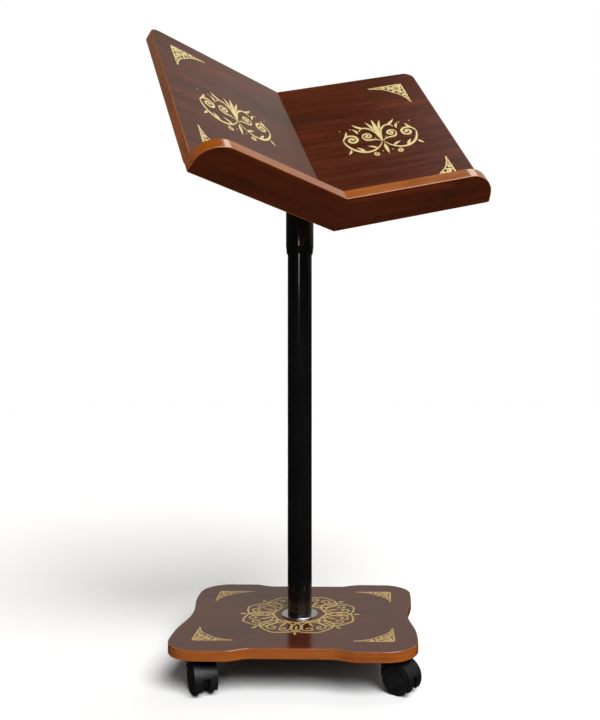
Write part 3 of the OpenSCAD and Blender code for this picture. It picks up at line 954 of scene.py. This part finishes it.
def put_print(name, body, look, board, at, draw, flip=(1, 1)):
    """Draws a print, mirrors it as flip says, and puts it at a place on a board."""
    prints = bpy.context.scene.stand_prints
    art = Print(prints.relief, prints.layer_step)
    draw(art, prints)
    art.mesh.transform(Matrix.Diagonal((*flip, 1, 1)))
    bmesh.ops.recalc_face_normals(art.mesh, faces=art.mesh.faces)
    put(name, art.mesh, body, look, (), board @ Matrix.Translation((*at, 0)))


class StandWingPrints(bpy.types.Operator):
    """Makes the gold ornaments on the wings: two corners and a medallion on each"""

    bl_idname = "stand.wing_prints"
    bl_label = "Wing prints"

    def execute(self, context):
        prints = context.scene.stand_prints
        for side in SIDES:
            out = OUTWARD[side]
            for end, depth, back in (("rear", prints.wing_corner_rear, -1),
                                     ("front", prints.wing_corner_front, 1)):
                # the legs run towards the spine, and towards the middle of the wing's depth
                put_print(f"print_wing_{side}_{end}_corner", "head", "gold_print", WING[side],
                          (out * prints.wing_corner_reach, depth), corner_print, (-out, back))
            put_print(f"print_wing_{side}_medallion", "head", "gold_print", WING[side],
                      (out * prints.medallion_reach, prints.medallion_back), medallion_print)
        return {"FINISHED"}


class StandBasePrints(bpy.types.Operator):
    """Makes the gold ornaments on the base: a rosette round the pole and four corners"""

    bl_idname = "stand.base_prints"
    bl_label = "Base prints"

    def execute(self, context):
        prints = context.scene.stand_prints
        put_print("print_base_rosette", "base", "base_gold_print", BASE, (0, 0), rosette_print)
        for end, y in (("front", -1), ("rear", 1)):
            for side, x in (("left", -1), ("right", 1)):
                put_print(f"print_base_{end}_{side}_corner", "base", "base_gold_print", BASE,
                          (x * prints.base_corner_x, y * prints.base_corner_y), corner_print,
                          (-x, -y))
        return {"FINISHED"}


# ---- pole and head ----


def bore_of(node):
    """Smallest distance of a node's points from the pole's axis."""
    axis = POLE_FOOT.to_2d()
    return min((v.co.to_2d() - axis).length for v in frame["nodes"][node].data.vertices)


# Radius on the foot ring's upper edge, as a part of its height
RING_ROUNDING = 0.6


class StandPole(bpy.types.Operator):
    """Makes the enamelled pole and the chrome ring at its foot"""

    bl_idname = "stand.pole"
    bl_label = "Pole"

    def execute(self, context):
        metal = context.scene.stand_metal
        outer = (POLE_HIGH.x - POLE_LOW.x) / 2
        inner = bore_of("pole")
        height = POLE_HIGH.z - DECK
        edge = metal.edge_round
        outline = [(inner, 0), (outer, 0), (outer, height), (inner, height)]
        tube = turned(rounded(outline, {2: edge, 3: edge}), metal.turns)
        put("pole_tube", tube, "base", "black_enamel", ("pole",), BASE)
        low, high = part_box("base_ring")
        rim, top = (high.x - low.x) / 2, high.z - low.z
        outline = [(outer, 0), (rim, 0), (rim, top), (outer, top)]
        ring = turned(rounded(outline, {2: top * RING_ROUNDING}), metal.turns)
        put("pole_foot_ring", ring, "base", "chrome_ring", ("base_ring",), BASE)
        return {"FINISHED"}


# Fixings and fittings that keep their CAD shape, with edges rounded: node, finish, radius in mm
FITTINGS = (
    ("pole_foot_plug", "zinc_steel", 0.3), ("pole_bolt", "zinc_steel", 0.4),
    ("pole_washer", "zinc_steel", 0.4), ("pole_cap", "natural_nylon", 0.4),
    ("caster_screws", "zinc_steel", 0.5), ("head_bracket", "black_enamel", 0.6),
    ("socket", "black_enamel", 0.2), ("socket_bush_lower", "natural_nylon", 0.3),
    ("socket_bush_upper", "natural_nylon", 0.3), ("socket_seat", "zinc_steel", 0.3),
    ("retaining_nut", "black_enamel", 0.3), ("retaining_screw", "zinc_steel", 0.2),
    ("bracket_screws", "zinc_steel", 0.6), ("lip_screws", "zinc_steel", 0.3),
    ("spine_dowels", "beech_dowel", 0.4),
)


def body_of(node):
    bodies = frame["record"]["behaviour"]["bodies"]
    return next(body for body, nodes in bodies.items() if node in nodes)


def fitting(node, look, radius=None, place=None):
    """A CAD node with its finish, and with its edges rounded if a radius is given."""
    mesh = cad_mesh(node, place)
    if radius:
        round_edges(mesh, radius)
    put(node + "_finished", mesh, body_of(node), look, (node,), place)


class StandFittings(bpy.types.Operator):
    """Makes the socket, its bracket and bushes, and the fixings that hold the boards and pole"""

    bl_idname = "stand.fittings"
    bl_label = "Socket and fixings"

    def execute(self, context):
        for node, look, radius in FITTINGS:
            fitting(node, look, radius * MM)
        return {"FINISHED"}


# ---- casters ----


class StandCasters(bpy.types.Operator):
    """Makes the four twin-wheel casters"""

    bl_idname = "stand.casters"
    bl_label = "Casters"

    def execute(self, context):
        metal = context.scene.stand_metal
        for name in CASTERS:
            place = caster_place(name)
            fitting(name + "_caster_plate", "zinc_steel", metal.edge_round)
            fitting(name + "_kingpin", "zinc_steel", metal.edge_round)
            fitting(name + "_hood", "black_nylon", metal.hood_round, place)
            fitting(name + "_axle", "zinc_steel", metal.edge_round, place)
            for wheel in ("_wheel_a", "_wheel_b"):
                fitting(name + wheel, "black_nylon", place=place)
        return {"FINISHED"}


# ---- stage ----

SENSOR_WIDTH = 36
# The key light's direction from the stand, and the point the strip light faces
KEY_WAY = Vector((0.35, -0.55, 0.75))
MIDDLE = Vector((POLE_FOOT.x, POLE_FOOT.y, 0.5))
STRIP_SIZE = (0.07, 0.5)
STRIP_AT = MIDDLE + Vector((-0.082, -1.62, 0.46))


def new_light(name, kind, power, way):
    """A light that shines from a direction."""
    data = bpy.data.lights.new(name, kind)
    data.energy = power
    light = bpy.data.objects.new(name, data)
    light.rotation_euler = way.to_track_quat("Z", "Y").to_euler()
    bpy.context.scene.collection.objects.link(light)
    return light


def studio_lights(stage):
    """A distant soft key light, and a narrow strip by the camera for the pole's highlight."""
    key = new_light("key", "SUN", stage.key_power, KEY_WAY)
    key.data.angle = math.radians(stage.key_spread)
    strip = new_light("strip", "AREA", stage.strip_power, STRIP_AT - MIDDLE)
    strip.location = STRIP_AT
    strip.data.shape = "RECTANGLE"
    strip.data.size, strip.data.size_y = STRIP_SIZE


def studio_camera(stage):
    """A level camera in front of the stand."""
    data = bpy.data.cameras.new("camera")
    data.lens = stage.lens
    data.sensor_width = SENSOR_WIDTH
    data.shift_x, data.shift_y = stage.shift_x, stage.shift_y
    camera = bpy.data.objects.new("camera", data)
    offset = Vector((stage.camera_side, -stage.camera_back, stage.camera_up))
    camera.location = POLE_FOOT + offset
    camera.rotation_euler = (math.radians(90), 0, math.radians(stage.camera_yaw))
    bpy.context.scene.collection.objects.link(camera)
    bpy.context.scene.camera = camera


def studio_world(stage):
    """A studio: a pale wall behind, a lit ceiling and a softbox; the camera sees white instead."""
    world = bpy.data.worlds.new("studio")
    world.use_nodes = True
    world.node_tree.nodes.clear()
    way = add_node(world, "ShaderNodeTexCoord").outputs["Generated"]
    parts = add_node(world, "ShaderNodeSeparateXYZ", {0: way}).outputs

    def along(axis, low, high, *ends):
        return spread(world, parts[axis], low, high, *ends)

    def maths(kind, first, *others):
        """The sum or the product of several values."""
        for other in others:
            node = add_node(world, "ShaderNodeMath", {0: first, 1: other}, operation=kind)
            first = node.outputs[0]
        return first

    wall = maths("MULTIPLY", along("Y", 0.0, 0.3), along("X", -0.95, -0.3),
                 along("Z", 0.72, 0.88, 1.0, 0.0), along("Z", 0.0, 0.42), stage.backdrop)
    ceiling = maths("MULTIPLY", along("Z", 0.80, 0.95), along("X", 0.07, 0.20),
                    along("Y", 0.045, 0.10), stage.ceiling)
    nearness = add_node(
        world, "ShaderNodeVectorMath", {0: way, 1: Vector(stage.softbox_way).normalized()},
        operation="DOT_PRODUCT",
    )
    softbox = maths("MULTIPLY", spread(world, nearness.outputs["Value"], 0.972, 0.988),
                    stage.softbox)
    studio = add_node(
        world, "ShaderNodeBackground",
        {"Color": rgba(stage.backdrop_tint),
         "Strength": maths("ADD", wall, ceiling, softbox, stage.surround)},
    )
    white = add_node(world, "ShaderNodeBackground", {"Color": rgba(WHITE), "Strength": 1.0})
    camera_ray = add_node(world, "ShaderNodeLightPath").outputs["Is Camera Ray"]
    mix = add_node(
        world, "ShaderNodeMixShader", {0: camera_ray, 1: studio.outputs[0], 2: white.outputs[0]},
    )
    add_node(world, "ShaderNodeOutputWorld", {"Surface": mix.outputs[0]})
    bpy.context.scene.world = world


FLOOR_SIDES = 96


def studio_floor(stage):
    """A round pale floor with a faintly mottled matt finish, left out of reflections."""
    mesh = bmesh.new()
    bmesh.ops.create_circle(mesh, cap_ends=True, segments=FLOOR_SIDES, radius=stage.floor_radius)
    data = placed_mesh("studio_floor", mesh, Matrix.Translation((POLE_FOOT.x, POLE_FOOT.y, 0)))
    material, shader = principled("studio_floor", Roughness=0.9, Specular_IOR_Level=0.1)
    pale = stage.floor_colour
    mottle = ramp(
        material, grain(material, (3, 3, 3)), [(0.3, dimmed(pale, 0.985)), (0.7, pale)])
    join(material, mottle, shader, "Base Color")
    data.materials.append(material)
    floor = bpy.data.objects.new("studio_floor", data)
    floor.visible_glossy = False
    bpy.context.scene.collection.objects.link(floor)


class StandStageSetup(bpy.types.Operator):
    """Makes the camera, the lights, the studio and the floor"""

    bl_idname = "stand.stage"
    bl_label = "Stage"

    def execute(self, context):
        stage = context.scene.stand_stage
        context.scene.view_settings.view_transform = "Standard"
        studio_camera(stage)
        studio_world(stage)
        studio_floor(stage)
        studio_lights(stage)
        return {"FINISHED"}


# ---- panel and registration ----

OPERATORS = (
    StandBaseBoard, StandWings, StandLips, StandWingPrints, StandBasePrints, StandPole,
    StandFittings, StandCasters, StandStageSetup,
)


class StandPanel(bpy.types.Panel):
    """Lists the stand's pieces and the sizes and colours that can be changed"""

    bl_idname = "VIEW3D_PT_reading_stand"
    bl_label = "Reading stand"
    bl_space_type = "VIEW_3D"
    bl_region_type = "UI"
    bl_category = "Reading stand"

    def draw(self, context):
        for operator in OPERATORS:
            self.layout.operator(operator.bl_idname)
        for name, group in PROPERTY_GROUPS.items():
            box = self.layout.box()
            box.label(text=group.__doc__)
            for key in group.__annotations__:
                box.prop(getattr(context.scene, name), key)


CLASSES = (*PROPERTY_GROUPS.values(), *OPERATORS, StandPanel)


def register():
    for cls in CLASSES:
        bpy.utils.register_class(cls)
    for name, group in PROPERTY_GROUPS.items():
        setattr(bpy.types.Scene, name, PointerProperty(type=group))


def unregister():
    for name in PROPERTY_GROUPS:
        delattr(bpy.types.Scene, name)
    for cls in reversed(CLASSES):
        bpy.utils.unregister_class(cls)


def main():
    register()
    for operator in OPERATORS:
        getattr(bpy.ops.stand, operator.bl_idname.removeprefix("stand."))()


if __name__ == "__main__":
    main()
